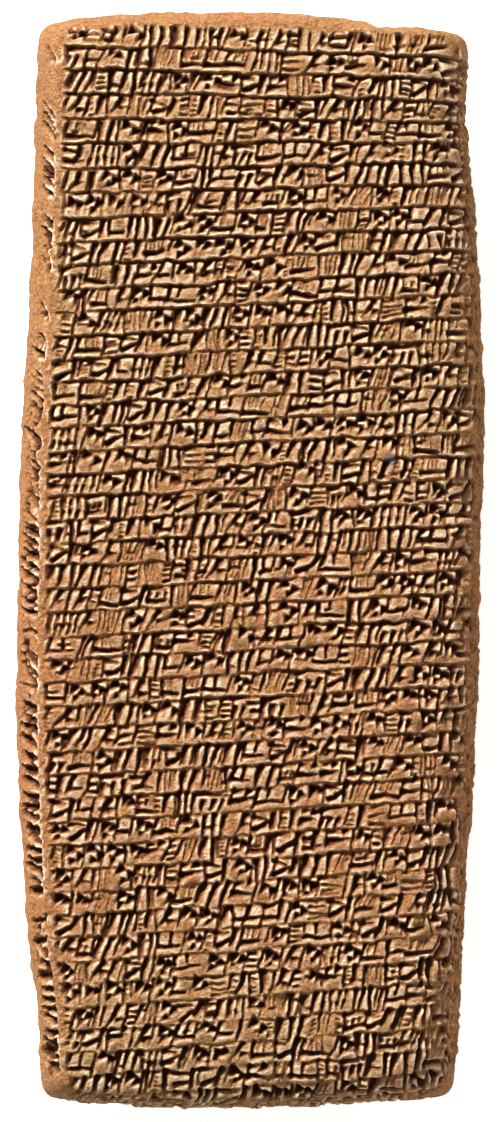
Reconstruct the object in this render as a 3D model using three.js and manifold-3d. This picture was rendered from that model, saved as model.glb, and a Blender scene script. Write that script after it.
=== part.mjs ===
// A long clay tablet lying on its back with its written face up, in millimetres.
// +X runs along the rows, +Y towards the head of the tablet, +Z up out of the written face.
// The origin is the middle of the tablet's footprint, on the surface that it lies on.
// The clay is one solid: a pillow of hand-pressed clay, flat where it rests, with rows of
// stylus strokes sunk into its front, its left edge, its foot and part of its back.
import * as THREE from "three";
import { ConvexGeometry } from "three/addons/geometries/ConvexGeometry.js";
import { mergeVertices } from "three/addons/utils/BufferGeometryUtils.js";
import Module from "manifold-3d";

// Overall size of the clay
const tabletLength = 205;
const tabletWidth = 88;
const tabletThickness = 32;

// How far each side of the outline draws in from the full width or length. Each pair is a
// place along the side, from -1 to 1, and the distance drawn in there.
const leftOutline = [
  [-1, 4.6], [-0.84, 4], [-0.72, 2.4], [-0.54, 1], [-0.28, 0], [0.2, 0.8], [0.5, 2.4], [0.84, 3.7], [1, 4],
];
const rightOutline = [
  [-1, 5.6], [-0.64, 3.7], [-0.3, 1.6], [0.06, 0.7], [0.28, 0], [0.64, 1.6], [0.84, 3.3], [1, 2.8],
];
const headOutline = [[-1, 2.2], [-0.75, 1], [-0.5, 0.2], [0.15, 0], [0.45, 1.1], [0.8, 1.4], [1, 2]];
const footOutline = [[-1, 2.2], [-0.7, 1], [-0.1, 0], [0.5, 0.7], [1, 1.7]];

// A shallow old chip takes the head's edge away from here to the right
const headChipStart = 21;
const headChipRun = 1.6;
const headChipDepth = 1.3;

// How far the front and back borders stand inside the widest line of the sides
const leftFrontInset = 2.7;
const rightFrontInset = 3;
const headFrontInset = 2.2;
const footFrontInset = 2.6;
const backInset = 6.5;
const cornerRadius = 2.8;

// The front swells a little towards its middle, and falls more or less suddenly at each border
const frontCrownAcross = 0.6;
const frontCrownAlong = 0.9;
const leftFall = { drop: 2, power: 16 };
const rightFall = { drop: 5.2, power: 7 };
const headFall = { drop: 2, power: 26 };
const footFall = { drop: 3.2, power: 18 };

// The back rises from a flat resting spot to its border
const backRise = 7.5;
const restHalfWidth = 16;
const restHalfLength = 62;

// The written rows of the front: their spacing and margins, and how much they climb to the
// right for each step across, from the foot at -1 to the head at 1
const rowPitch = 4.28;
const firstRowDrop = 3.4;
const lastRowRise = 2.6;
const rowStart = 5.4;
const rowEnd = 3;
const rowSlopes = [
  [-1, 0.066], [-0.6, 0.06], [0, 0.045], [0.5, 0.052], [0.72, 0.03], [0.9, -0.015], [1, -0.022],
];

// Stylus strokes: the head is the broad end, and the tail runs out to nothing
const strokeLength = 3.3;
const strokeHead = 2.1;
const strokeDepth = 1.1;
const hookSize = 2.6;
const frontStrokeSpacing = 9.4;
const strokeSizes = { least: 0.85, most: 1.15 };

// A stroke's corners, as shares of its head across it and of its length along it
const headLeftCorner = { across: -0.42, along: 0.5 };
const headRightCorner = { across: 0.58, along: 0.42 };
const tailCorner = { across: 0, along: -0.5 };
const deepestAlong = 0.3;

// Long strokes nearly end to end rule off the foot of each row
const rulingSpacing = 26;
const rulingGap = 1.5;
const rulingHead = 1.1;
const rulingDepth = 0.9;

// The back is written less closely and is left blank towards the head, and the left edge and
// the foot carry a few strokes each
const backRowPitch = 5.6;
const backStrokeSpacing = 14.5;
const backBlankLength = 78;
const backMargin = 15;
const edgeStrokeSpacing = 8.6;
const edgeStrokeHeight = 0.45;
const footStrokeSpacing = 5.4;
const footStrokeHeight = 0.3;
const edgeMargin = 12;

// How far strokes stray from even spacing, as a share of it, and where each line's random
// draws start
const signUnevenness = 0.9;
const rulingUnevenness = 0.36;
const edgeUnevenness = 0.8;
const frontSeeds = { first: 1000, step: 131 };
const backSeeds = { first: 9000, step: 173 };
const leftEdgeSeed = 20000;
const footSeed = 30000;
const strokeSeedStep = 7;

// Mesh divisions of the smooth body, and how much closer they stand near the borders
const acrossDivisions = 8;
const alongDivisions = 18;
const deepDivisions = 6;
const acrossCrowding = 0.42;
const alongCrowding = 0.22;

const clayColour = 0xb98a5c;
const clayRoughness = 0.86;
const weldDistance = 1e-4;

const halfWidth = tabletWidth / 2;
const halfLength = tabletLength / 2;

// A smooth curve through pairs of place and value.
function curveThrough(pairs) {
  const places = pairs.map((pair) => pair[0]);
  const values = pairs.map((pair) => pair[1]);
  const curve = new THREE.CubicInterpolant(places, values, 1);
  return (place) => curve.evaluate(place)[0];
}

const drawInLeft = curveThrough(leftOutline);
const drawInRight = curveThrough(rightOutline);
const drawInHead = curveThrough(headOutline);
const drawInFoot = curveThrough(footOutline);
const slopeOfRow = curveThrough(rowSlopes);

// Rounds the four upright corners: a square of side cornerRadius becomes a quarter disc.
function roundCorner(u, v) {
  const innerX = halfWidth - cornerRadius;
  const innerY = halfLength - cornerRadius;
  const overX = Math.abs(u) * halfWidth - innerX;
  const overY = Math.abs(v) * halfLength - innerY;
  if (overX <= 0 || overY <= 0) return [u, v];
  const keep = Math.max(overX, overY) / Math.hypot(overX, overY);
  return [
    (Math.sign(u) * (innerX + overX * keep)) / halfWidth,
    (Math.sign(v) * (innerY + overY * keep)) / halfLength,
  ];
}

function frontHeight(u, v) {
  const sideFall = u < 0 ? leftFall : rightFall;
  const endFall = v < 0 ? footFall : headFall;
  const crown = frontCrownAcross * u * u + frontCrownAlong * v * v;
  const sideDrop = sideFall.drop * Math.abs(u) ** sideFall.power;
  const endDrop = endFall.drop * Math.abs(v) ** endFall.power;
  return tabletThickness - crown - sideDrop - endDrop;
}

function backHeight(u, v) {
  const across = Math.max(0, (Math.abs(u) * halfWidth - restHalfWidth) / (halfWidth - restHalfWidth));
  const along = Math.max(0, (Math.abs(v) * halfLength - restHalfLength) / (halfLength - restHalfLength));
  return backRise * (1 - (1 - across ** 2) * (1 - along ** 2));
}

// A point of the skin. u runs from left to right, v from foot to head and w from back to
// front, each from -1 to 1, and one of them is at its limit.
function skinPoint(uFlat, vFlat, w) {
  const [u, v] = roundCorner(uFlat, vFlat);
  const bulge = w * w;
  const insetOf = (frontInset) => bulge * (w > 0 ? frontInset : backInset);
  const left = -halfWidth + drawInLeft(v) + insetOf(leftFrontInset);
  const right = halfWidth - drawInRight(v) - insetOf(rightFrontInset);
  const x = THREE.MathUtils.lerp(left, right, (u + 1) / 2);
  const chip = headChipDepth * THREE.MathUtils.smoothstep(x, headChipStart, headChipStart + headChipRun);
  const foot = -halfLength + drawInFoot(u) + insetOf(footFrontInset);
  const head = halfLength - drawInHead(u) - insetOf(headFrontInset) - chip * (1 - bulge);
  const y = THREE.MathUtils.lerp(foot, head, (v + 1) / 2);
  const z = THREE.MathUtils.lerp(backHeight(u, v), frontHeight(u, v), (w + 1) / 2);
  return new THREE.Vector3(x, y, z);
}

// Packs grid lines closer together near the borders, where the skin bends most.
const crowd = (share, amount) => share * (1 + amount - amount * share * share);

function bodyGeometry() {
  const geometry = new THREE.BoxGeometry(2, 2, 2, acrossDivisions, alongDivisions, deepDivisions);
  const place = geometry.attributes.position;
  for (let i = 0; i < place.count; i++) {
    const u = crowd(place.getX(i), acrossCrowding);
    const v = crowd(place.getY(i), alongCrowding);
    place.setXYZ(i, ...skinPoint(u, v, place.getZ(i)));
  }
  return geometry;
}

// The skin's place and directions at (u, v, w), where a stroke's own frame stands: x along
// the skin in the direction of reading, y up the written side, z out of the clay.
function skinFrame(u, v, w) {
  const nudge = 1e-3;
  const here = skinPoint(u, v, w);
  const onSide = Math.abs(u) === 1;
  const onEnd = Math.abs(v) === 1;
  const alongU = onSide ? skinPoint(u, v, w - u * nudge) : skinPoint(u + nudge, v, w);
  const alongV = onEnd ? skinPoint(u, v, w + nudge) : skinPoint(u, v + nudge, w);
  const xAxis = alongU.sub(here).normalize();
  const zAxis = new THREE.Vector3().crossVectors(xAxis, alongV.sub(here)).normalize();
  if (w === -1 || v === 1) zAxis.negate();
  const yAxis = new THREE.Vector3().crossVectors(zAxis, xAxis);
  return new THREE.Matrix4().makeBasis(xAxis, yAxis, zAxis).setPosition(here);
}

// One press of the stylus: a three-sided pyramid pointing into the clay. Its mouth on the
// skin has two corners at the head, one a little lower, and one at the tail. The mouth is
// carried up past the skin so that the press cuts clear.
function strokeCutter(head, length, depth, turn, frame) {
  const deepest = new THREE.Vector3(0, length * deepestAlong, -depth);
  const carriedUp = 1.8;
  const raised = [headLeftCorner, headRightCorner, tailCorner].map(({ across, along }) => {
    const corner = new THREE.Vector3(head * across, length * along, 0);
    return corner.sub(deepest).multiplyScalar(carriedUp).add(deepest);
  });
  const spin = new THREE.Matrix4().makeRotationZ(turn);
  return new ConvexGeometry([deepest, ...raised]).applyMatrix4(spin).applyMatrix4(frame);
}

const upright = 0;
const lying = Math.PI / 2;
const hooked = Math.PI * 0.72;

// The three presses that the rows are made of, in the shares that they are met with.
function signStroke(seed, frame) {
  const uprightShare = 0.45;
  const lyingShare = 0.3;
  const pick = THREE.MathUtils.seededRandom(seed);
  const { least, most } = strokeSizes;
  const size = THREE.MathUtils.lerp(least, most, THREE.MathUtils.seededRandom(seed + 1));
  const head = strokeHead * size;
  if (pick < uprightShare) return strokeCutter(head, strokeLength, strokeDepth, upright, frame);
  if (pick < uprightShare + lyingShare) return strokeCutter(head, strokeLength, strokeDepth, lying, frame);
  return strokeCutter(hookSize * size, hookSize, strokeDepth, hooked, frame);
}

// Presses strokes along one line of the skin, where frameAt gives the skin's frame at a
// distance along it. Each is shifted by up to half of the unevenness, a share of the spacing.
function lineOfStrokes({ length, spacing, unevenness, seed, frameAt, press }) {
  const count = Math.max(1, Math.round(length / spacing));
  const strokes = [];
  for (let i = 0; i < count; i++) {
    const strokeSeed = seed + strokeSeedStep * i;
    const shift = (THREE.MathUtils.seededRandom(strokeSeed) - 0.5) * unevenness;
    const along = ((i + 0.5 + shift) / count) * length;
    strokes.push(press(strokeSeed + 3, frameAt(along)));
  }
  return strokes;
}

function frontStrokes() {
  const written = tabletLength - firstRowDrop - lastRowRise;
  const rowCount = Math.floor(written / rowPitch);
  const lineStart = rowStart + leftFrontInset - halfWidth;
  const lineEnd = halfWidth - rightFrontInset - rowEnd;
  const length = lineEnd - lineStart;
  const rulingLength = length / Math.max(1, Math.round(length / rulingSpacing)) - rulingGap;
  const rulingStroke = (seed, frame) => strokeCutter(rulingHead, rulingLength, rulingDepth, lying, frame);
  const signs = { length, spacing: frontStrokeSpacing, unevenness: signUnevenness, press: signStroke };
  const rulings = { length, spacing: rulingSpacing, unevenness: rulingUnevenness, press: rulingStroke };
  const strokes = [];
  for (let row = 0; row < rowCount; row++) {
    const top = halfLength - firstRowDrop - row * rowPitch;
    const slope = slopeOfRow(top / halfLength);
    const frameBelowTop = (drop) => (along) => {
      const x = lineStart + along;
      return skinFrame(x / halfWidth, (top - drop + slope * x) / halfLength, 1);
    };
    const seed = frontSeeds.first + frontSeeds.step * row;
    strokes.push(...lineOfStrokes({ ...signs, seed, frameAt: frameBelowTop(rowPitch / 2) }));
    if (row < rowCount - 1) {
      strokes.push(...lineOfStrokes({ ...rulings, seed: seed + 1, frameAt: frameBelowTop(rowPitch) }));
    }
  }
  return strokes;
}

// The back is written from the foot upwards, because such a tablet is turned over its foot.
function backStrokes() {
  const rowCount = Math.floor((tabletLength - backBlankLength - backMargin) / backRowPitch);
  const length = tabletWidth - 2 * backMargin;
  const signs = { length, spacing: backStrokeSpacing, unevenness: signUnevenness, press: signStroke };
  const strokes = [];
  for (let row = 0; row < rowCount; row++) {
    const y = -halfLength + backMargin + (row + 0.5) * backRowPitch;
    const frameAt = (along) => skinFrame((along - length / 2) / halfWidth, y / halfLength, -1);
    const seed = backSeeds.first + backSeeds.step * row;
    strokes.push(...lineOfStrokes({ ...signs, seed, frameAt }));
  }
  return strokes;
}

function leftEdgeStrokes() {
  const length = tabletLength - 2 * edgeMargin;
  const frameAt = (along) => skinFrame(-1, (along - length / 2) / halfLength, edgeStrokeHeight);
  const line = { length, spacing: edgeStrokeSpacing, unevenness: edgeUnevenness, seed: leftEdgeSeed };
  return lineOfStrokes({ ...line, frameAt, press: signStroke });
}

function footStrokes() {
  const length = tabletWidth - 2 * edgeMargin;
  const frameAt = (along) => skinFrame((along - length / 2) / halfWidth, -1, footStrokeHeight);
  const line = { length, spacing: footStrokeSpacing, unevenness: edgeUnevenness, seed: footSeed };
  return lineOfStrokes({ ...line, frameAt, press: signStroke });
}

const wasm = await Module();
wasm.setup();

// A closed geometry as a solid that can be joined and cut.
function solidOf(geometry) {
  const bare = geometry.clone();
  bare.deleteAttribute("normal");
  if (bare.attributes.uv) bare.deleteAttribute("uv");
  const merged = mergeVertices(bare, weldDistance);
  return new wasm.Manifold(
    new wasm.Mesh({
      numProp: 3,
      vertProperties: new Float32Array(merged.attributes.position.array),
      triVerts: new Uint32Array(merged.index.array),
    }),
  );
}

function geometryOf(solid) {
  const mesh = solid.getMesh();
  const geometry = new THREE.BufferGeometry();
  geometry.setAttribute("position", new THREE.BufferAttribute(mesh.vertProperties, 3));
  geometry.setIndex(new THREE.BufferAttribute(mesh.triVerts, 1));
  geometry.computeVertexNormals();
  return geometry;
}

// The written clay, moved so that it stands centred on the origin and rests on z = 0.
function tabletGeometry() {
  const presses = [...frontStrokes(), ...backStrokes(), ...leftEdgeStrokes(), ...footStrokes()];
  const body = solidOf(bodyGeometry());
  const written = presses.reduce((clay, press) => clay.subtract(solidOf(press)), body);
  const geometry = geometryOf(written);
  geometry.computeBoundingBox();
  const { min, max } = geometry.boundingBox;
  return geometry.translate(-(min.x + max.x) / 2, -(min.y + max.y) / 2, -min.z);
}

const clay = new THREE.MeshStandardMaterial({
  color: clayColour,
  roughness: clayRoughness,
  metalness: 0,
  flatShading: true,
});
const tablet = new THREE.Mesh(tabletGeometry(), clay);
tablet.name = "tablet";

const part = new THREE.Group();
part.add(tablet);
export default part;
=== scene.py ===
# A long clay tablet, closely written on its front, lying on its back on a pale table.
import math

import bmesh
import bpy
import numpy as np
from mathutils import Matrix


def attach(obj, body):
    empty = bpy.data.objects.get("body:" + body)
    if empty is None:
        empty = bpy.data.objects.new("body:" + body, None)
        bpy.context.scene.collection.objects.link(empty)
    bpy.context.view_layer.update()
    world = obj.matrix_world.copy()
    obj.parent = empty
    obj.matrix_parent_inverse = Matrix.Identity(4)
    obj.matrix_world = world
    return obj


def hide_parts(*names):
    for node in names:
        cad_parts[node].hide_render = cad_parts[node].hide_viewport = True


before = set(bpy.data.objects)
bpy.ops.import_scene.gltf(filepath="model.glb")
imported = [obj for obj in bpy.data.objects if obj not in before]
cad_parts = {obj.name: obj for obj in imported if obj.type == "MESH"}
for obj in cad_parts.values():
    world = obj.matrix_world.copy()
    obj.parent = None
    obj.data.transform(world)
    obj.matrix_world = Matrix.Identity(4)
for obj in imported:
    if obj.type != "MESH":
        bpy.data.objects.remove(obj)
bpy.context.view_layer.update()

mm = 0.001  # the sizes below are in millimetres, and Blender's are in metres
rng = np.random.default_rng(46)

# The clay's own form, the same as the solid's. An outline's points are shares of the way from
# the middle of its side and how far it is drawn in there.
clay = {
    "length": 205.0,
    "width": 88.0,
    "thickness": 32.0,
    "leftOutline": [
        (-1, 4.6), (-0.84, 4), (-0.72, 2.4), (-0.54, 1), (-0.28, 0),
        (0.2, 0.8), (0.5, 2.4), (0.84, 3.7), (1, 4),
    ],
    "rightOutline": [
        (-1, 5.6), (-0.64, 3.7), (-0.3, 1.6), (0.06, 0.7),
        (0.28, 0), (0.64, 1.6), (0.84, 3.3), (1, 2.8),
    ],
    "headOutline": [(-1, 2.2), (-0.75, 1), (-0.5, 0.2), (0.15, 0), (0.45, 1.1), (0.8, 1.4), (1, 2)],
    "footOutline": [(-1, 2.2), (-0.7, 1), (-0.1, 0), (0.5, 0.7), (1, 1.7)],
    "chipStart": 21.0,  # the head's edge is chipped away from here to the right
    "chipRun": 1.6,
    "chipDepth": 1.3,
    "frontInsets": {"left": 2.7, "right": 3.0, "head": 2.2, "foot": 2.6},
    "backInset": 6.5,
    "cornerRadius": 2.8,
    "crownAcross": 0.6,
    "crownAlong": 0.9,
    "falls": {"left": (2.0, 16), "right": (5.2, 7), "head": (2.0, 26), "foot": (3.2, 18)},  # drop and power
    "backRise": 7.5,
    "restHalfWidth": 16.0,
    "restHalfLength": 62.0,
    "meshStep": 0.4,  # spacing of the fine mesh, and the front's is half of it
    "sideSteps": 44,
    "softening": 12,  # rounds of smoothing that take the border's sharpness away
    "faces": 197000,  # triangles that are kept
    "mapGap": 4,  # between the flat maps of its sides
}
halfWidth = clay["width"] / 2
halfLength = clay["length"] / 2


def curveThrough(pairs):
    # a smooth curve whose slope at each point is that of the line between its neighbours
    places, values = np.array(pairs, float).T
    ends = (np.diff(values) / np.diff(places))[[0, -1]]
    inner = (values[2:] - values[:-2]) / (places[2:] - places[:-2])
    slopes = np.concatenate([ends[:1], inner, ends[1:]])

    def curve(place):
        k = np.clip(np.searchsorted(places, place) - 1, 0, len(places) - 2)
        step = places[k + 1] - places[k]
        p = np.clip((place - places[k]) / step, 0, 1)
        rising = p * p * (3 - 2 * p)
        bend = step * (slopes[k] * p * (1 - p) ** 2 - slopes[k + 1] * p * p * (1 - p))
        return values[k] + rising * (values[k + 1] - values[k]) + bend

    return curve


drawIn = {side: curveThrough(clay[side + "Outline"]) for side in ("left", "right", "head", "foot")}


def smoothStep(value, low, high):
    p = np.clip((value - low) / (high - low), 0, 1)
    return p * p * (3 - 2 * p)


def roundCorner(u, v):
    radius = clay["cornerRadius"]
    overX = np.abs(u) * halfWidth - halfWidth + radius
    overY = np.abs(v) * halfLength - halfLength + radius
    inCorner = (overX > 0) & (overY > 0)
    keep = np.where(inCorner, np.maximum(overX, overY) / np.maximum(np.hypot(overX, overY), 1e-9), 1)
    roundU = np.sign(u) * (halfWidth - radius + overX * keep) / halfWidth
    roundV = np.sign(v) * (halfLength - radius + overY * keep) / halfLength
    return np.where(inCorner, roundU, u), np.where(inCorner, roundV, v)


def frontHeight(u, v):
    crown = clay["crownAcross"] * u * u + clay["crownAlong"] * v * v
    drops = {}
    for side, (drop, power) in clay["falls"].items():
        place = u if side in ("left", "right") else v
        drops[side] = drop * np.abs(place) ** power
    across = np.where(u < 0, drops["left"], drops["right"])
    along = np.where(v < 0, drops["foot"], drops["head"])
    return clay["thickness"] - crown - across - along


def backHeight(u, v):
    restX, restY = clay["restHalfWidth"], clay["restHalfLength"]
    across = np.maximum(0, (np.abs(u) * halfWidth - restX) / (halfWidth - restX))
    along = np.maximum(0, (np.abs(v) * halfLength - restY) / (halfLength - restY))
    return clay["backRise"] * (1 - (1 - across**2) * (1 - along**2))


def skin(uFlat, vFlat, w):
    # a point of the clay's surface: u from left to right, v from foot to head, w from back to front
    u, v = roundCorner(uFlat, vFlat)
    bulge = w * w
    insets = clay["frontInsets"]
    inset = {side: bulge * np.where(w > 0, insets[side], clay["backInset"]) for side in insets}
    left = -halfWidth + drawIn["left"](v) + inset["left"]
    right = halfWidth - drawIn["right"](v) - inset["right"]
    x = left + (right - left) * (u + 1) / 2
    chip = clay["chipDepth"] * smoothStep(x, clay["chipStart"], clay["chipStart"] + clay["chipRun"])
    foot = -halfLength + drawIn["foot"](u) + inset["foot"]
    head = halfLength - drawIn["head"](u) - inset["head"] - chip * (1 - bulge)
    y = foot + (head - foot) * (v + 1) / 2
    back, front = backHeight(u, v), frontHeight(u, v)
    z = back + (front - back) * (w + 1) / 2
    return np.stack([x, y, z], axis=-1)


# The writing is pressed into charts, which are height fields in millimetres. The front's
# chart also covers the sides, opened out flat around it.
pixel = 0.1
sideRun = 13.0  # chart millimetres down a side for each step of w
chartSizes = {"front": (150, 262), "back": (92, 210)}  # width and height


def newChart(width, height):
    shape = (round(height / pixel), round(width / pixel))
    return {"relief": np.zeros(shape, np.float32), "left": -width / 2, "foot": -height / 2}


def noiseField(shape, cell):
    # smooth noise with lumps of about the given size, from about -1 to 1
    step = cell / pixel
    coarse = rng.uniform(-1, 1, (int(shape[0] / step) + 3, int(shape[1] / step) + 3)).astype(np.float32)
    rows, columns = np.arange(shape[0]) / step, np.arange(shape[1]) / step
    i, j = rows.astype(int), columns.astype(int)
    p, q = (rows - i).astype(np.float32), (columns - j).astype(np.float32)
    p, q = (p * p * (3 - 2 * p))[:, None], q * q * (3 - 2 * q)
    tall = coarse[i] * (1 - p) + coarse[i + 1] * p
    return tall[:, j] * (1 - q) + tall[:, j + 1] * q


def boxBlur(field, radius, axis):
    size = 2 * radius + 1
    padding = [(0, 0), (0, 0)]
    padding[axis] = (radius + 1, radius)
    total = np.cumsum(np.pad(field, padding, mode="edge"), axis=axis, dtype=np.float64)
    high = total[size:] if axis == 0 else total[:, size:]
    low = total[:-size] if axis == 0 else total[:, :-size]
    return ((high - low) / size).astype(np.float32)


def blur(field, radius):
    # two passes each way give a soft, tent-shaped blur of the radius in millimetres
    reach = max(1, round(radius / pixel / 2))
    for axis in (0, 1, 0, 1):
        field = boxBlur(field, reach, axis)
    return field


def press(chart, x, y, angle, length, width, depth, hand=1, wall=0.4, head=0.6, lift=0.6, tail=0.5):
    # a press of the stylus: its valley runs from the head to the tail at the angle and rises by
    # the share lift on its way, with a gentle side as wide as width and a steep wall opposite
    relief, reach = chart["relief"], max(length, width) + head
    firstRow = max(0, int((y - reach - chart["foot"]) / pixel))
    firstColumn = max(0, int((x - reach - chart["left"]) / pixel))
    count = int(2 * reach / pixel)
    window = relief[firstRow:firstRow + count, firstColumn:firstColumn + count]
    if not window.size:
        return
    dy = chart["foot"] + (firstRow + np.arange(window.shape[0])[:, None] + 0.5) * pixel - y
    dx = chart["left"] + (firstColumn + np.arange(window.shape[1]) + 0.5) * pixel - x
    along = dx * math.cos(angle) + dy * math.sin(angle)
    across = (dy * math.cos(angle) - dx * math.sin(angle)) * hand
    taper = 1 - lift * along / length
    pit = np.minimum(taper - across / width, taper + across / wall)
    pit = np.minimum(pit, np.minimum(1 + along / head, (length - along) / tail))
    np.minimum(window, -depth * np.maximum(pit, 0) ** writing["hollow"], out=window)


# The writing: rows of plain presses in made-up groups, none of which is a letter
writing = {
    "pitch": 4.28,
    "firstRowDrop": 3.4,
    "rowSlopes": [
        (-1, 0.066), (-0.6, 0.06), (0, 0.045), (0.5, 0.052), (0.72, 0.03), (0.9, -0.015), (1, -0.022),
    ],
    "border": 4.2,  # from the left side to the first group of a row
    "rowEnd": 50.0,
    "runOn": 12.0,  # how far the rows go on over the foot
    "height": 3.85,  # of a group, in a row
    "depth": 1.4,
    "hollow": 1.6,  # above 1, the clay swells up roundly beside each press
    "lean": 0.27,  # of upright presses, in radians
    "leanSpread": 0.1,
    "parted": 0.85,  # share of groups with an upright cut before them
    "partRoom": 0.15,  # from that cut to its group
    "cutAcross": 0.35,  # share of groups with a short cut across them
    "cutLength": (1.2, 2.6),
    "skippedRun": (1.5, 4.0),  # left blank where a group is left out
    "unevenness": 0.13,  # of each press's size, and half of it in radians for its turn
    "strayed": 0.08,  # of each press's place
    "rulingDepth": 0.62,
    "rulingReach": (-0.6, 0.4),
    "rulingBelow": 0.55,  # width of its gentle lower side
    "rulingAbove": 0.3,  # width of its steep upper side
    "rulingWave": 0.12,
    "rulingStrength": 1.05,  # at mid length, as a share of the depth
    "rulingGain": 0.45,  # what is added to it at the head and taken off at the foot
    "rulingChange": 0.25,  # how much it comes and goes along the line
    "backPitch": 4.9,
    "backBlank": 78.0,
    "backMargin": 15.0,
}
slopeOfRow = curveThrough(writing["rowSlopes"])

# Short lines of writing on the left edge. A pair is the value far from the head, and what is added
# to it near the head.
edgeWriting = {
    "run": 11.0,
    "firstDrop": 8.0,
    "lastRise": 4.0,
    "nearHead": (32, 50),
    "height": (7.2, -2.4),
    "gap": (0.05, 0.3),
    "skipped": (0.02, 0.35),
    "beside": 1.5,  # from the rows' border to the line
    "depth": 1.5,
}

# How some presses differ from plain ones: in the share by which the valley rises on its way, and
# in the widths of the steep wall and of the head
stackShape = {"lift": 0.3, "wall": 0.28, "head": 0.3}
rungShape = {"lift": 0.2, "wall": 0.22, "head": 0.25}
ribShape = {"lift": 0.3, "wall": 0.25, "head": 0.3}
lumpShape = {"lift": 0.1, "wall": 0.3, "head": 0.3}
partShape = {"lift": 0.15, "wall": 0.3, "head": 0.4}
cutShape = {"lift": 0.2, "wall": 0.3, "head": 0.3}


class Row:
    # a line of writing on a chart, from a starting point in a direction
    def __init__(self, chart, x, y, turn, depth=1.0, lift=0.35):
        self.chart, self.x, self.y, self.turn, self.depth = chart, x, y, turn, depth
        self.lean, self.lift = writing["lean"], lift

    def press(self, p, q, angle, length, width, depth, **shape):
        uneven = writing["unevenness"]
        length, width = np.array([length, width]) * rng.uniform(1 - uneven, 1 + uneven, 2)
        p, q = np.array([p, q]) + rng.normal(0, writing["strayed"], 2)
        x = self.x + p * math.cos(self.turn) - q * math.sin(self.turn)
        y = self.y + p * math.sin(self.turn) + q * math.cos(self.turn)
        angle += self.turn + rng.normal(0, uneven / 2)
        deep = writing["depth"] * depth * self.depth * rng.uniform(1 - uneven, 1 + uneven)
        press(self.chart, x, y, angle, length, width, deep, **shape)

    def upright(self, p, q, length, width, depth=1.0, **shape):
        # p is where the press crosses the middle of the row
        top = p + self.lean * (q - writing["height"] / 2)
        self.press(top, q, -math.pi / 2 - self.lean, length, width, depth, **{"lift": self.lift, **shape})

    def lying(self, p, q, length, width, depth=0.85, **shape):
        self.press(p, q, 0.0, length, width, depth, hand=-1, **shape)

    def hook(self, p, q, size, depth=1.3):
        # a short, broad press that runs down to the left
        angle = -math.pi * 0.72 + rng.uniform(-0.35, 0.35)
        shape = {"wall": size * 0.48, "head": size * 0.35, "lift": 0.8}
        self.press(p, q, angle, size, size * 0.62, depth, **shape)


def uprights(row, p, height):
    count = rng.integers(1, 4)
    step = rng.uniform(1.4, 2.2)
    for i in range(count):
        row.upright(p + i * step + 0.5, height, height * 1.15, step * 0.7)
    return count * step


def stack(row, p, height):
    count = rng.integers(3, 5)
    length = rng.choice([1.3, 2.4, 3.2, 4.0])
    step = height / count
    for i in range(count):
        place = p + 0.1 * (count - i)
        row.lying(place, height - i * step - 0.25, length, step * 0.66, 0.7, **stackShape)
    return length + 0.35


def hooks(row, p, height):
    row.hook(p + 1.6, height * rng.uniform(0.82, 0.95), 2.4)
    row.hook(p + 3.1, height * rng.uniform(0.58, 0.72), 2.1)
    if rng.random() < 0.6:
        row.hook(p + rng.uniform(1.3, 1.9), height * 0.38, 1.6, 1.0)
    return 3.6


def ladder(row, p, height):
    # a narrow pile of short strokes
    count = rng.integers(4, 6)
    step = height / count
    length = rng.uniform(0.9, 1.3)
    for i in range(count):
        place = p + 0.2 + row.lean * (height - i * step - height / 2)
        row.lying(place, height - i * step - 0.2, length, step * 0.65, 0.65, **rungShape)
    return length + 0.4


def hatchOverBar(row, p, height):
    count = rng.integers(3, 6)
    step = rng.uniform(0.66, 0.85)
    for i in range(count):
        row.upright(p + i * step + 0.2, height, height * 0.6, step * 0.65, 0.6, **ribShape)
    length = count * step + rng.choice([0.4, 1.6])
    row.lying(p - 0.1, height * 0.4, length, height * 0.34, 1.0, lift=0.3)
    return length + 0.1


def hatch(row, p, height):
    count = rng.integers(3, 6)
    step = rng.uniform(0.68, 0.9)
    for i in range(count):
        row.upright(p + i * step + 0.2, height, height * 0.95, step * 0.65, 0.65, **ribShape)
    return count * step + 0.2


def barOverUprights(row, p, height):
    count = rng.integers(2, 4)
    step = rng.uniform(1.3, 1.8)
    row.lying(p - 0.1, height - 0.1, count * step, height * 0.26, 0.9, lift=0.3)
    for i in range(count):
        row.upright(p + i * step + 0.3, height * 0.6, height * 0.64, step * 0.7, 0.95)
    return count * step + 0.1


def twoStoreys(row, p, height):
    count = rng.integers(2, 5)
    step = rng.uniform(1.1, 1.5)
    for i in range(count):
        row.upright(p + i * step + 0.3, height, height * 0.5, step * 0.7, 0.85, wall=0.3, head=0.4)
        row.upright(p + i * step + 0.3, height * 0.5, height * 0.48, step * 0.7, 0.85, wall=0.3, head=0.4)
    return count * step + 0.1


def crossed(row, p, height):
    length = rng.uniform(2.6, 4.2)
    row.lying(p, height * rng.uniform(0.75, 0.95), length, height * 0.28, lift=0.3)
    row.lying(p + 0.2, height * 0.38, length * 0.9, height * 0.3, lift=0.3)
    row.upright(p + length * rng.uniform(0.5, 0.9), height, height, 1.7)
    return length + 0.8


def slanted(row, p, height):
    row.press(p + 0.2, height * 0.3, math.pi * 0.12, 4.0, 1.3, 1.05, hand=-1, lift=0.4)
    row.press(p, height * 0.92, -math.pi * 0.06, 3.0, 1.0, 0.9, hand=-1, lift=0.4)
    row.upright(p + 3.4, height, height, 1.7)
    return 4.8


def ladderAndUpright(row, p, height):
    count = rng.integers(4, 6)
    step = height / count
    for i in range(count):
        place = p + 0.1 * (count - i)
        row.lying(place, height - i * step - 0.2, 1.1, step * 0.65, 0.65, **rungShape)
    row.upright(p + 1.9, height, height, 1.7)
    return 3.6


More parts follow.
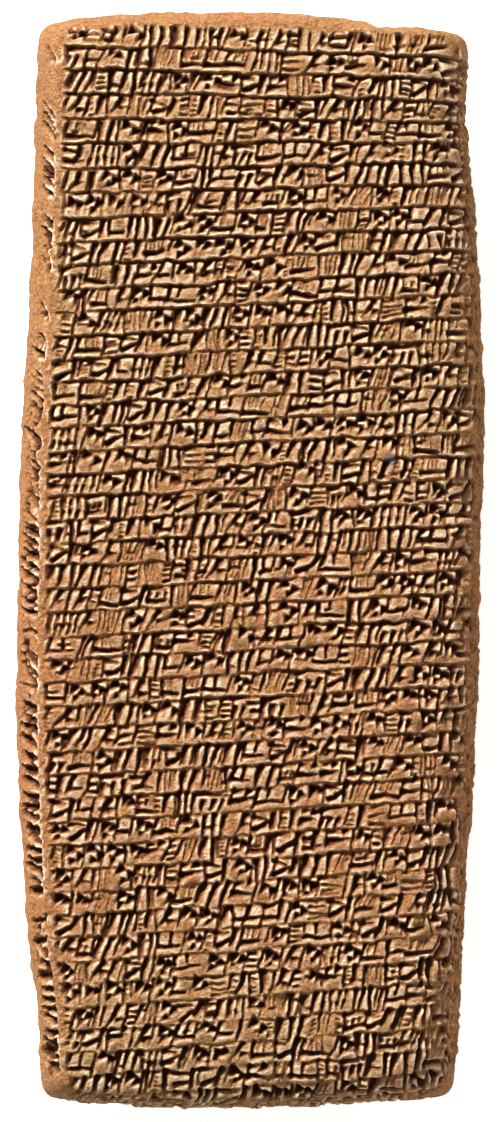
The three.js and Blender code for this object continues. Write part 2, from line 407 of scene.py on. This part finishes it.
def boxed(row, p, height):
    # presses above and below with small uprights between them
    count = rng.integers(2, 4)
    step = rng.uniform(0.9, 1.2)
    row.lying(p, height - 0.15, count * step + 0.2, height * 0.22, 0.75, lift=0.3, wall=0.3, head=0.4)
    for i in range(count):
        row.upright(p + i * step + 0.3, height * 0.68, height * 0.36, step * 0.7, 0.75, wall=0.3, head=0.3)
    row.lying(p - 0.1, height * 0.32, count * step + 0.6, height * 0.3, 0.9, lift=0.3)
    return count * step + 0.4


def flag(row, p, height):
    # a long bar with a broad head, a short one over it and a hook at its end
    length = rng.uniform(3.0, 4.6)
    row.lying(p, height * 0.55, length, height * 0.42, 1.1, lift=0.5, head=0.9)
    row.lying(p + 0.5, height - 0.1, length * 0.5, height * 0.28, 0.8, lift=0.4)
    row.hook(p + length * 0.8, height * 0.95, 1.7)
    return length + 0.1


def leaning(row, p, height):
    # a broad press that leans far over, with a short one in its lee
    row.press(p + 2.5, height, -math.pi / 2 - 0.6, height * 1.2, 1.6, 1.05)
    row.lying(p + 2.2, height * 0.5, 1.7, height * 0.36, 0.85)
    return 3.7


def blocksOverBar(row, p, height):
    # square lumps of clay left standing over a long bar
    count = rng.integers(1, 3)
    step = rng.uniform(1.7, 2.2)
    for i in range(count):
        row.upright(p + i * step, height, height * 0.56, 0.55, 1.0, **lumpShape)
    length = count * step + rng.uniform(0.2, 1.4)
    row.lying(p - 0.1, height * 0.42, length, height * 0.2, 1.0, lift=0.2, wall=0.3)
    return length


def pile(row, p, height):
    # a pile of three or four lens-shaped lumps
    count = rng.integers(3, 5)
    step = height / count
    length = rng.uniform(1.5, 2.1)
    for i in range(count):
        place = p + 0.15 * (count - i)
        row.lying(place, height - i * step - 0.1, length, step * 0.5, 0.85, **lumpShape)
    return length + 0.4


# The kinds of group, with how often each comes on the faces and on the left edge
signs = {
    uprights: 0.2,
    stack: 0.05,
    hooks: 0.36,
    ladder: 0.07,
    hatchOverBar: 0.11,
    hatch: 0.1,
    barOverUprights: 0.03,
    boxed: 0.03,
    flag: 0.05,
    twoStoreys: 0.05,
    crossed: 0.02,
    slanted: 0.09,
    ladderAndUpright: 0.05,
    leaning: 0.12,
    blocksOverBar: 0.09,
    pile: 0.1,
}
edgeSigns = {uprights: 0.5, hooks: 0.14, leaning: 0.12, hatch: 0.12, stack: 0.12}


def writeRow(row, length, height, gap=0.05, skipped=0.0, choice=signs):
    # fills the row with groups, and leaves out the share skipped of them
    makers, shares = list(choice), np.array(list(choice.values()))
    p = 0.0
    while p < length:
        sign = makers[rng.choice(len(makers), p=shares / shares.sum())]
        if rng.random() < skipped:
            p += rng.uniform(*writing["skippedRun"])
            continue
        row.lean = writing["lean"] + rng.normal(0, writing["leanSpread"])
        if rng.random() < writing["parted"]:
            row.upright(p, height, height * rng.uniform(0.9, 1.1), 0.45, 0.9, **partShape)
        room = writing["partRoom"]
        width = sign(row, p + room, height * rng.uniform(0.94, 1.04)) + room
        if rng.random() < writing["cutAcross"]:
            cut = rng.uniform(*writing["cutLength"])
            place = p + width * rng.uniform(0, 0.5)
            row.lying(place, height * rng.uniform(0.3, 0.7), cut, 0.5, 0.8, **cutShape)
        p += width + gap + rng.uniform(0, 0.15)


def ruleLine(chart, xs, ys, depth):
    # a thin furrow through the points, with a steep upper side and a gentle lower one
    relief = chart["relief"]
    columns = ((xs - chart["left"]) / pixel).astype(int)
    for offset in np.arange(*writing["rulingReach"], pixel):
        rows = ((ys + offset - chart["foot"]) / pixel).astype(int)
        share = min(1 + offset / writing["rulingBelow"], 1 - offset / writing["rulingAbove"])
        inside = (rows >= 0) & (rows < relief.shape[0])
        held = relief[rows[inside], columns[inside]]
        relief[rows[inside], columns[inside]] = np.minimum(held, -depth[inside] * share)


def borderAt(y):
    # where the rows begin beside the left border, which bends with the outline
    v = np.clip(y / halfLength, -1, 1)
    return -halfWidth + writing["border"] + drawIn["left"](v)


def waveAlong(xs, least, most):
    # a wave of least to most radians for each millimetre, from a random start
    return np.sin(xs * rng.uniform(least, most) + rng.uniform(0, 6))


def writeFront(chart):
    pitch = writing["pitch"]
    rows = int((clay["length"] + writing["runOn"]) / pitch)
    end = writing["rowEnd"]
    for number in range(rows):
        top = halfLength - writing["firstRowDrop"] - number * pitch
        start = float(borderAt(top))
        slope = float(slopeOfRow(np.clip(top / halfLength, -1, 1)))
        foot = top - pitch + rng.normal(0, 0.08)
        begin = start + rng.uniform(-0.3, 0.7)
        row = Row(chart, begin, foot + 0.12 + slope * begin, math.atan(slope))
        writeRow(row, end - begin, writing["height"] * (1.03 - 0.03 * top / halfLength))
        xs = np.arange(start - 0.3, end, pixel)
        wave = writing["rulingWave"] * waveAlong(xs, 0.15, 0.3)
        strength = writing["rulingStrength"] + writing["rulingGain"] * top / halfLength
        for least, most in ((0.1, 0.2), (0.5, 0.9)):
            strength = strength + writing["rulingChange"] * waveAlong(xs, least, most)
        ruleLine(chart, xs, foot + slope * xs + wave, writing["rulingDepth"] * strength)


def writeLeftEdge(chart):
    # the lines follow the left edge down, sparse towards the head and tall further on
    run = edgeWriting["run"]
    first, last = halfLength - edgeWriting["firstDrop"], -halfLength + edgeWriting["lastRise"]
    for y in np.arange(first, last, -run):
        nearHead = float(smoothStep(y, *edgeWriting["nearHead"]))
        pairs = [edgeWriting[name] for name in ("height", "gap", "skipped")]
        height, gap, skipped = [value + added * nearHead for value, added in pairs]
        start, after = float(borderAt(y)), float(borderAt(y - run))
        left, turn = start - edgeWriting["beside"] - height, math.atan2(-run, after - start)
        row = Row(chart, left, y, turn, depth=edgeWriting["depth"], lift=0.1)
        writeRow(row, run, height, gap, skipped, edgeSigns)


def writeBack(chart):
    pitch = writing["backPitch"]
    length = clay["width"] - 2 * writing["backMargin"]
    rows = int((clay["length"] - writing["backBlank"] - writing["backMargin"]) / pitch)
    for number in range(rows):
        y = -halfLength + writing["backMargin"] + number * pitch
        row = Row(chart, -length / 2 + rng.uniform(-1, 1), y, 0.01, depth=0.75)
        writeRow(row, length - rng.uniform(0, 8), writing["height"], gap=0.25, skipped=0.12)


def warp(chart, reach, cell):
    # shifts the relief about by up to reach, so that no press keeps a straight edge
    relief = chart["relief"]
    i = np.arange(relief.shape[0])[:, None] + reach / pixel * noiseField(relief.shape, cell)
    j = np.arange(relief.shape[1]) + reach / pixel * noiseField(relief.shape, cell)
    i, j = np.clip(i, 0, relief.shape[0] - 1), np.clip(j, 0, relief.shape[1] - 1)
    chart["relief"] = relief[np.rint(i).astype(int), np.rint(j).astype(int)]


def placesOf(chart):
    rows, columns = chart["relief"].shape
    return chart["left"] + np.arange(columns) * pixel, (chart["foot"] + np.arange(rows) * pixel)[:, None]


# The front's surface, with the stretches over which each state of it sets in
surface = {
    "shifts": [(0.3, 2.4), (0.13, 0.9)],  # how far the presses are shifted about, and by what lumps
    "strip": [(0.1, -0.3), (-1.8, -1.4)],  # a smooth strip beside the rows' border
    "bareAcross": [(-33, -36)],  # the lower left corner
    "bareAlong": [(-94, -96), (-106, -103)],
    "patchSize": 9,
    "wornRight": {"share": 0.75, "wander": 2.5, "stretch": (35, 43)},
    "wornHead": {"share": 0.85, "wander": 1.2, "stretch": (98, 100.5)},
    "wornPatches": {"share": 0.45, "stretch": (0.55, 0.95)},
    "mostWorn": 0.95,
    "wornLoss": 0.55,  # of the presses' depth
    "crumbSizes": (0.9, 0.5),
    "crumbHeight": 0.6,
    "crumbLimit": 0.2,
    "outsideLeft": (-2.6, -4.2),  # from the rows' border
    "outsideRight": (40, 42),
    "outsideHead": (-1, 1),  # from the front's end
    "outsideSkin": 0.8,
    "outsideCrumbs": 0.6,
    # less of the pale edges, which are partly painted highlight, beyond the writing
    "outsideWearAndHighlight": 0.6,
    "tabAcross": [(37.8, 38.6), (45, 43)],
    "tabAlong": [(93.6, 94.2), (98.6, 98)],
    "tabHeight": 0.6,
}

# How the clay between the presses is rounded and swollen, and what counts as low or raised
shaping = {
    "softRadius": 0.1,
    "shoulderRadius": 0.5,
    "shoulderSlope": 1.7,
    "shoulderHeight": 0.15,
    "lumps": [(0.3, 2.6), (0.08, 1.0)],  # height and size
    "swell": (0.12, 7),
    "rise": 0.2,
    # how low each point lies against its surroundings, which sets where shade is painted into the recesses
    # and onto flat clay
    "shadeDepthRadius": 2.0,
    "shadeDepthShare": 0.3,
    "shadeDepthLevel": 0.28,
    "shadeDepthScale": 0.6,
    # raised edges, painted pale partly as wear and partly as painted highlight
    "wearAndHighlightRadius": 0.9,
    "wearAndHighlightHeight": 0.4,
}


def patchOf(x, y, across, along):
    # 1 on a patch of the chart and 0 around it, with a soft edge at each of its limits
    share = 1.0
    for place, limits in ((x, across), (y, along)):
        for low, high in limits:
            share = share * smoothStep(place, low, high)
    return share


def fromBorder(x, border, stretch):
    # smoothStep over a stretch that is measured from a border
    return smoothStep(x, border + stretch[0], border + stretch[1])


def finishFront(chart):
    for reach, cell in surface["shifts"]:
        warp(chart, reach, cell)
    relief = chart["relief"]
    x, y = placesOf(chart)
    border = borderAt(y)
    bare = 1.0
    for stretch in surface["strip"]:
        bare = bare * fromBorder(x, border, stretch)
    bare = np.maximum(bare, patchOf(x, y, surface["bareAcross"], surface["bareAlong"]))
    relief *= 1 - bare
    # worn at the right border, at the head and in patches
    patches = noiseField(relief.shape, surface["patchSize"])
    worn = 0.0
    for place, state in ((x, surface["wornRight"]), (y, surface["wornHead"])):
        worn = worn + state["share"] * smoothStep(place + state["wander"] * patches, *state["stretch"])
    state = surface["wornPatches"]
    worn = worn + state["share"] * smoothStep(patches, *state["stretch"])
    worn = np.clip(worn, 0, surface["mostWorn"]).astype(np.float32)
    crumbs = sum(noiseField(relief.shape, size) * 0.5 for size in surface["crumbSizes"])
    relief *= 1 - surface["wornLoss"] * worn
    # beyond the writing on each side
    half = clay["length"] / 2 - drawIn["head"](0.0) - clay["frontInsets"]["head"]
    outside = fromBorder(x, border, surface["outsideLeft"]) + smoothStep(x, *surface["outsideRight"])
    outside = outside + fromBorder(y, half, surface["outsideHead"])
    chart["skin"] = np.clip(np.maximum(bare, worn) + surface["outsideSkin"] * outside, 0, 1)
    crumbled = np.maximum(worn, np.clip(bare + outside, 0, 1) * surface["outsideCrumbs"])
    relief += crumbled * surface["crumbHeight"] * np.minimum(crumbs, surface["crumbLimit"])
    # a small raised tab at the right end of the first row
    tab = patchOf(x, y, surface["tabAcross"], surface["tabAlong"])
    relief += tab * (surface["tabHeight"] - relief)
    shapeClay(chart)
    # fewer pale edges and less painted highlight beyond the writing
    chart["wearAndHighlight"] *= 1 - surface["outsideWearAndHighlight"] * np.clip(outside, 0, 1)


def shapeClay(chart, lumps=1.0):
    # the clay between the presses is squeezed up into round-shouldered lumps
    relief = chart["relief"]
    shoulders = shaping["shoulderSlope"] * blur(relief, shaping["shoulderRadius"])
    rounded = np.minimum(blur(relief, shaping["softRadius"]), shoulders + shaping["shoulderHeight"])
    lumpy = sum(height * noiseField(relief.shape, size) for height, size in shaping["lumps"])
    height, size = shaping["swell"]
    swell = height * noiseField(relief.shape, size) + lumps * lumpy
    # how low each point lies, for the shade painted into the recesses and onto flat clay
    around = shaping["shadeDepthShare"] * blur(relief, shaping["shadeDepthRadius"])
    chart["shadeDepth"] = np.clip(-(rounded + shaping["shadeDepthLevel"] - around) / shaping["shadeDepthScale"], -1, 1)
    # raised edges, painted pale partly as wear and partly as painted highlight
    raised = rounded - blur(rounded, shaping["wearAndHighlightRadius"])
    chart["wearAndHighlight"] = np.clip(raised / shaping["wearAndHighlightHeight"], -1, 1)
    chart["relief"] = rounded + swell + shaping["rise"]


front = newChart(*chartSizes["front"])
back = newChart(*chartSizes["back"])
writeFront(front)
writeLeftEdge(front)
finishFront(front)
writeBack(back)
back["skin"] = np.full(back["relief"].shape, 0.6, np.float32)
shapeClay(back, lumps=0.4)
print("writing pressed")

atEdge = 0.9999  # of the box that the tablet is made from, which goes from -1 to 1
# Where the opened-out sides don't meet, and where the back's writing ends, the fields fade out
fades = {
    "endCorner": (0.82, 0.97),
    "sideCorner": (0.93, 0.99),
    "cornerRun": (0, 3),
    "under": (-0.95, -0.6),
    "backAcross": (1, 0.9),
    "backAlong": (1, 0.95),
    "skin": 0.8,  # what the skin field fades to
}


def sample(field, chart, x, y):
    # a chart's field between its pixels
    column = np.clip((x - chart["left"]) / pixel - 0.5, 0, field.shape[1] - 1.001)
    row = np.clip((y - chart["foot"]) / pixel - 0.5, 0, field.shape[0] - 1.001)
    j, i = column.astype(int), row.astype(int)
    q, p = column - j, row - i
    low = field[i, j] * (1 - q) + field[i, j + 1] * q
    high = field[i + 1, j] * (1 - q) + field[i + 1, j + 1] * q
    return low * (1 - p) + high * p


def makeBox(name):
    # a closed box of small faces, two units a side, with the finest ones on its top
    across = round(clay["width"] / clay["meshStep"])
    along = round(clay["length"] / clay["meshStep"])
    bm = bmesh.new()
    bmesh.ops.create_cube(bm, size=2)
    for axis, steps in enumerate((across, along, clay["sideSteps"])):
        runs = [e for e in bm.edges if abs(e.verts[0].co[axis] - e.verts[1].co[axis]) > 1]
        bmesh.ops.subdivide_edges(bm, edges=runs, cuts=steps - 1, use_grid_fill=True)
    top = [e for e in bm.edges if min(vertex.co.z for vertex in e.verts) > atEdge]
    bmesh.ops.subdivide_edges(bm, edges=top, cuts=1, use_grid_fill=True)
    mesh = bpy.data.meshes.new(name)
    bm.to_mesh(mesh)
    bm.free()
    box = bpy.data.objects.new(name, mesh)
    bpy.context.scene.collection.objects.link(box)
    return box


def readPoints(mesh, kind="co"):
    flat = np.empty(len(mesh.vertices) * 3, np.float32)
    mesh.vertices.foreach_get(kind, flat)
    return flat.reshape(-1, 3).astype(float)


def applyModifier(piece, kind, **settings):
    modifier = piece.modifiers.new(kind.title(), kind)
    for setting, value in settings.items():
        setattr(modifier, setting, value)
    with bpy.context.temp_override(object=piece, active_object=piece, selected_objects=[piece]):
        bpy.ops.object.modifier_apply(modifier=modifier.name)


def unfold(piece):
    # flat maps for each side, laid next to each other: front, back, left, right, foot and head
    mesh = piece.data
    length, width, deep = clay["length"], clay["width"], clay["thickness"]
    x, y, z = readPoints(mesh).T / mm
    corners = np.empty(len(mesh.loops), np.int32)
    mesh.loops.foreach_get("vertex_index", corners)
    corners = corners.reshape(-1, 3)
    middle = [field[corners].mean(axis=1) for field in (x, y, z)]
    insets = clay["frontInsets"]
    outX, outY = np.abs(middle[0]), np.abs(middle[1])
    inFront = (outX < halfWidth - insets["left"]) & (outY < halfLength - insets["head"])
    inBack = (outX < halfWidth - clay["backInset"]) & (outY < halfLength - clay["backInset"])
    front = (middle[2] > deep / 2) & inFront
    back = (middle[2] <= deep / 2) & inBack
    onSide = halfWidth - outX < halfLength - outY
    places = [
        (front, x, y),
        (back, -x, y),
        (onSide & (middle[0] < 0), z, y),
        (onSide, -z, y),
        (middle[1] < 0, z, x),
        (middle[1] >= 0, -z, x),
    ]
    gap = clay["mapGap"]
    starts = np.cumsum([0, width, width, deep, deep, deep]) + gap * np.arange(len(places))
    total = max(starts[-1] + deep, length) + 2 * gap
    taken = np.zeros(len(corners), bool)
    uv = np.zeros((len(corners), 3, 2), np.float32)
    for start, (chosen, across, up) in zip(starts, places):
        chosen = chosen & ~taken
        taken |= chosen
        across, up = across - across.min(), up - up.min()
        uv[chosen] = np.stack([across[corners[chosen]] + start, up[corners[chosen]]], axis=-1) / total
    layer = mesh.uv_layers.new(name="OFBake")
    layer.data.foreach_set("uv", uv.ravel())


def reliefAt(u, v, w):
    # each field of the charts for points of the box
    border = skin(u, v, np.ones_like(w))
    down = (1 - w) * sideRun
    onEnd = (np.abs(v) > atEdge) & (np.abs(u) < atEdge)
    x = border[:, 0] + np.where(onEnd, 0, np.sign(u) * down)
    y = border[:, 1] + np.where(onEnd, np.sign(v) * down, 0)
    endCorner = smoothStep(np.abs(u), *fades["endCorner"])
    nearCorner = np.where(onEnd, endCorner, smoothStep(np.abs(v), *fades["sideCorner"]))
    fade = (1 - nearCorner * smoothStep(down, *fades["cornerRun"])) * smoothStep(w, *fades["under"])
    onBack = (w < -atEdge) & (np.abs(u) < atEdge) & (np.abs(v) < atEdge)
    under = skin(u, v, w)
    backFade = smoothStep(np.abs(u), *fades["backAcross"]) * smoothStep(np.abs(v), *fades["backAlong"])
    values = {}
    for kind in ("relief", "shadeDepth", "skin", "wearAndHighlight"):
        faded = fades["skin"] if kind == "skin" else 0.0
        above = faded + (sample(front[kind], front, x, y) - faded) * fade
        below = faded + (sample(back[kind], back, -under[:, 0], under[:, 1]) - faded) * backFade
        values[kind] = np.where(onBack, below, above)
    return values


def makeTablet():
    piece = makeBox("writtenClay")
    mesh = piece.data
    u, v, w = readPoints(mesh).T
    places = skin(u, v, w)
    mesh.vertices.foreach_set("co", places.ravel())
    mesh.update()
    applyModifier(piece, "SMOOTH", factor=0.5, iterations=clay["softening"])
    print("clay formed:", len(mesh.vertices), "points")
    values = reliefAt(u, v, w)
    places = readPoints(mesh) + readPoints(mesh, "normal") * values["relief"][:, None]
    low, high = places.min(axis=0), places.max(axis=0)
    places[:, 2] = np.maximum(places[:, 2], 0)
    places -= [(low[0] + high[0]) / 2, (low[1] + high[1]) / 2, 0]
    mesh.vertices.foreach_set("co", (places * mm).ravel())
    for name in ("shadeDepth", "skin", "wearAndHighlight"):
        attribute = mesh.attributes.new(name, "FLOAT", "POINT")
        attribute.data.foreach_set("value", values[name].astype(np.float32))
    mesh.update()
    triangles = sum(len(p.vertices) - 2 for p in mesh.polygons)
    applyModifier(piece, "DECIMATE", ratio=clay["faces"] / triangles)
    applyModifier(piece, "TRIANGULATE")
    unfold(piece)
    print("relief pressed in:", len(piece.data.polygons), "faces kept of", triangles)
    return piece


tablet = makeTablet()


def nodeOf(tree, kind, **values):
    # a new node, with values for its settings and for the inputs of those names
    made = tree.nodes.new("ShaderNode" + kind)
    for name, value in values.items():
        if hasattr(made, name):
            setattr(made, name, value)
        else:
            made.inputs[name].default_value = value
    return made


def noiseOf(tree, place, size, detail=3.0, rough=0.55):
    # noise with lumps of about the given size in millimetres
    made = nodeOf(tree, "TexNoise", Scale=1 / (size * mm), Detail=detail, Roughness=rough)
    tree.links.new(place, made.inputs["Vector"])
    return made.outputs["Fac"]


def ramp(tree, value, span, share=1.0):
    # rises softly from 0 at the span's first value to the share at its second
    made = nodeOf(tree, "MapRange", interpolation_type="SMOOTHSTEP")
    for name, number in zip(("From Min", "From Max", "To Max"), (*span, share)):
        made.inputs[name].default_value = number
    tree.links.new(value, made.inputs["Value"])
    return made.outputs["Result"]


def mixed(tree, factor, first, second):
    # for colours, the node's sockets 6 and 7 go in and 2 comes out
    made = nodeOf(tree, "Mix", data_type="RGBA")
    for socket, value in zip((made.inputs[0], made.inputs[6], made.inputs[7]), (factor, first, second)):
        if isinstance(value, (tuple, float)):
            socket.default_value = value
        else:
            tree.links.new(value, socket)
    return made.outputs[2]


# The clay's finish: colours as a picture stores them, and sizes in millimetres
finish = {
    "ochre": (154, 124, 82),
    "terracotta": (152, 101, 63),
    "zoneSize": 55.0,
    "zoneSpan": (0.42, 0.6),
    # below them the foot is less red and paler, partly painted light that lifts it where it falls away from
    # the key light
    "redSpans": [(0.04, 0.0), (-0.09, -0.06)],  # in metres along the tablet, redder between them
    "yellow": (160, 128, 70),
    "yellowShare": 0.5,
    "pink": (186, 120, 86),
    "pinkShare": 0.3,
    "tintSize": 2.4,
    "tintSpan": (0.35, 0.65),
    "outer": (150, 104, 64),  # the bare outer skin
    "outerShare": 0.6,
    "outerSpan": (0.1, 0.9),
    # painted shade in part: the skin's brown laid on flat raised clay darkens the flat tops against the lit
    # facets
    "flatShadeShare": 0.4,  # of the outer skin's colour on flat clay between the presses
    "flatShadeSpan": (-0.3, -0.75),
    "blotch": (150, 96, 52),
    "blotchShare": 0.4,
    "blotchSize": 1.3,
    "blotchSpan": (0.6, 0.4),
    "speck": (104, 60, 28),
    "speckShare": 0.6,
    "speckSize": 0.7,
    "speckSpan": (0.6, 0.36),
    # pale raised edges: partly wear, partly a painted highlight where rims catch the light
    "worn": (232, 204, 170),  # the clay's raised edges
    "wornHighlightShare": 0.9,
    "wornHighlightSpan": (0.1, 0.85),
    # painted shade: a dark brown laid into the recesses, where shadow falls
    "recessShade": (76, 38, 20),
    "recessShadeSpan": (-0.1, 0.7),
    "grainSize": 0.7,
    "grainDepth": 1.4,
    "roughness": 0.88,
    "specular": 0.1,
    "stain": (78, 88, 98),  # a small grey-blue spot
    "stainPlace": (24.6, 18.9, 31.6),
    "stainRadius": 1.1,
    "stainSpan": (1.4, 0.8),  # in radii
    "stainShare": 0.75,
    "sharpAngle": 25,  # degrees between faces, above which an edge is sharp
}


def shade(name):
    # one of the finish's colours, for a shader
    shares = [part / 255 for part in finish[name]]
    linear = [part / 12.92 if part < 0.04045 else ((part + 0.055) / 1.055) ** 2.4 for part in shares]
    return (*linear, 1.0)


def clayMaterial():
    made = bpy.data.materials.new("weatheredClay")
    made.use_nodes = True
    tree = made.node_tree
    shader = tree.nodes["Principled BSDF"]
    place = nodeOf(tree, "TexCoord").outputs["Object"]
    shadeDepth = nodeOf(tree, "Attribute", attribute_name="shadeDepth").outputs["Fac"]
    skin = nodeOf(tree, "Attribute", attribute_name="skin").outputs["Fac"]
    wearAndHighlight = nodeOf(tree, "Attribute", attribute_name="wearAndHighlight").outputs["Fac"]
    parts = nodeOf(tree, "SeparateXYZ")
    tree.links.new(place, parts.inputs["Vector"])
    # ochre at the head, redder below and less red again at the foot, in broad zones; the paler foot is
    # partly painted light that lifts it where it falls away from the key light
    zones = ramp(tree, noiseOf(tree, place, finish["zoneSize"], 2.0), finish["zoneSpan"])
    redness = nodeOf(tree, "Math", operation="MULTIPLY")
    for number, span in enumerate(finish["redSpans"]):
        tree.links.new(ramp(tree, parts.outputs["Y"], span), redness.inputs[number])
    reddish = mixed(tree, 0.5, shade("ochre"), shade("terracotta"))
    between = mixed(tree, zones, shade("ochre"), reddish)
    body = mixed(tree, redness.outputs[0], between, shade("terracotta"))
    # small yellowish and pinkish tints
    tints = ramp(tree, noiseOf(tree, place, finish["tintSize"], 2.0), finish["tintSpan"])
    yellow = mixed(tree, finish["yellowShare"], body, shade("yellow"))
    pink = mixed(tree, finish["pinkShare"], body, shade("pink"))
    body = mixed(tree, tints, yellow, pink)
    # the brown outer skin with painted shade on flat clay, blotches, specks, pale worn ridges that are
    # partly painted highlight, the one spot and painted shade in the recesses, in turn
    blotches = noiseOf(tree, place, finish["blotchSize"], 2.0, 0.5)
    specks = noiseOf(tree, place, finish["speckSize"], 3.0, 0.6)
    away = nodeOf(tree, "VectorMath", operation="DISTANCE")
    away.inputs[1].default_value = [part * mm for part in finish["stainPlace"]]
    tree.links.new(place, away.inputs[0])
    stainSpan = [finish["stainRadius"] * mm * radii for radii in finish["stainSpan"]]
    layers = [
        # the skin's brown on flat raised clay, partly painted shade
        ("outer", ramp(tree, shadeDepth, finish["flatShadeSpan"], finish["flatShadeShare"])),
        ("outer", ramp(tree, skin, finish["outerSpan"], finish["outerShare"])),
        ("blotch", ramp(tree, blotches, finish["blotchSpan"], finish["blotchShare"])),
        ("speck", ramp(tree, specks, finish["speckSpan"], finish["speckShare"])),
        # pale raised edges, partly painted highlight
        ("worn", ramp(tree, wearAndHighlight, finish["wornHighlightSpan"], finish["wornHighlightShare"])),
        ("stain", ramp(tree, away.outputs["Value"], stainSpan, finish["stainShare"])),
        # painted shade in the recesses
        ("recessShade", ramp(tree, shadeDepth, finish["recessShadeSpan"])),
    ]
    for name, share in layers:
        body = mixed(tree, share, body, shade(name))
    tree.links.new(body, shader.inputs["Base Color"])
    shader.inputs["Roughness"].default_value = finish["roughness"]
    shader.inputs["Specular IOR Level"].default_value = finish["specular"]
    grain = nodeOf(tree, "Bump", Strength=1.0, Distance=finish["grainDepth"] * mm)
    tree.links.new(noiseOf(tree, place, finish["grainSize"], 5.0, 0.65), grain.inputs["Height"])
    tree.links.new(grain.outputs["Normal"], shader.inputs["Normal"])
    return made


tablet.data.materials.append(clayMaterial())
tablet.data.shade_smooth()
tablet.data.set_sharp_from_angle(angle=math.radians(finish["sharpAngle"]))
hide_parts("tablet")
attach(tablet, "root")
print("clay finished")

# The picture: its height in millimetres at the tablet, and how the camera and the light stand
picture = {
    "height": 211.0,
    "lens": 200.0,
    "sensor": 36.0,
    "lookFromLeft": 6.0,  # degrees
    "keyHeight": 25.0,  # degrees above the table
    "keyTurn": 56.0,  # degrees from the left towards the head
    "lampDistance": 4.0,
    "keySize": 0.4,
    "keyPower": 600.0,
    "fillHeight": 16.0,
    "fillTurn": 190.0,
    "fillSize": 2.0,
    "fillPower": 90.0,
    "surround": 0.45,
    "surroundColour": (1, 0.94, 0.88, 1),
    "tableReach": 2.0,
    "tableColour": (0.9, 0.9, 0.9, 1),
    "tableRoughness": 0.9,
    "tableGlow": 0.6,
    "look": "None",
}


def makeFloor():
    bm = bmesh.new()
    bmesh.ops.create_grid(bm, x_segments=1, y_segments=1, size=picture["tableReach"])
    mesh = bpy.data.meshes.new("table")
    bm.to_mesh(mesh)
    bm.free()
    floor = bpy.data.objects.new("table", mesh)
    bpy.context.scene.collection.objects.link(floor)
    pale = bpy.data.materials.new("paleTable")
    pale.use_nodes = True
    shader = pale.node_tree.nodes["Principled BSDF"]
    shader.inputs["Base Color"].default_value = picture["tableColour"]
    shader.inputs["Roughness"].default_value = picture["tableRoughness"]
    shader.inputs["Emission Color"].default_value = (1, 1, 1, 1)
    shader.inputs["Emission Strength"].default_value = picture["tableGlow"]
    mesh.materials.append(pale)


def makeCamera():
    lens = bpy.data.cameras.new("camera")
    lens.lens, lens.sensor_width = picture["lens"], picture["sensor"]
    camera = bpy.data.objects.new("camera", lens)
    yaw = math.radians(picture["lookFromLeft"])
    distance = picture["height"] * mm * picture["lens"] / picture["sensor"]
    target = np.array([0.0, 0.0, clay["thickness"] * mm / 2])
    camera.location = target + distance * np.array([-math.sin(yaw), 0, math.cos(yaw)])
    camera.rotation_euler = (0, -yaw, 0)
    bpy.context.scene.collection.objects.link(camera)
    bpy.context.scene.camera = camera


def makeLamp(name):
    up, turn = math.radians(picture[name + "Height"]), math.radians(picture[name + "Turn"])
    way = np.array([-math.cos(up) * math.cos(turn), math.cos(up) * math.sin(turn), math.sin(up)])
    light = bpy.data.lights.new(name, "AREA")
    light.shape, light.size, light.energy = "DISK", picture[name + "Size"], picture[name + "Power"]
    lamp = bpy.data.objects.new(name, light)
    lamp.location = way * picture["lampDistance"]
    lamp.rotation_euler = lamp.location.to_track_quat("Z", "Y").to_euler()
    bpy.context.scene.collection.objects.link(lamp)


def makeLight():
    makeLamp("key")
    makeLamp("fill")
    world = bpy.data.worlds.new("studio")
    world.use_nodes = True
    background = world.node_tree.nodes["Background"]
    background.inputs["Color"].default_value = picture["surroundColour"]
    background.inputs["Strength"].default_value = picture["surround"]
    bpy.context.scene.world = world
    bpy.context.scene.view_settings.view_transform = "Standard"
    bpy.context.scene.view_settings.look = picture["look"]


makeFloor()
makeCamera()
makeLight()
print("picture set up")
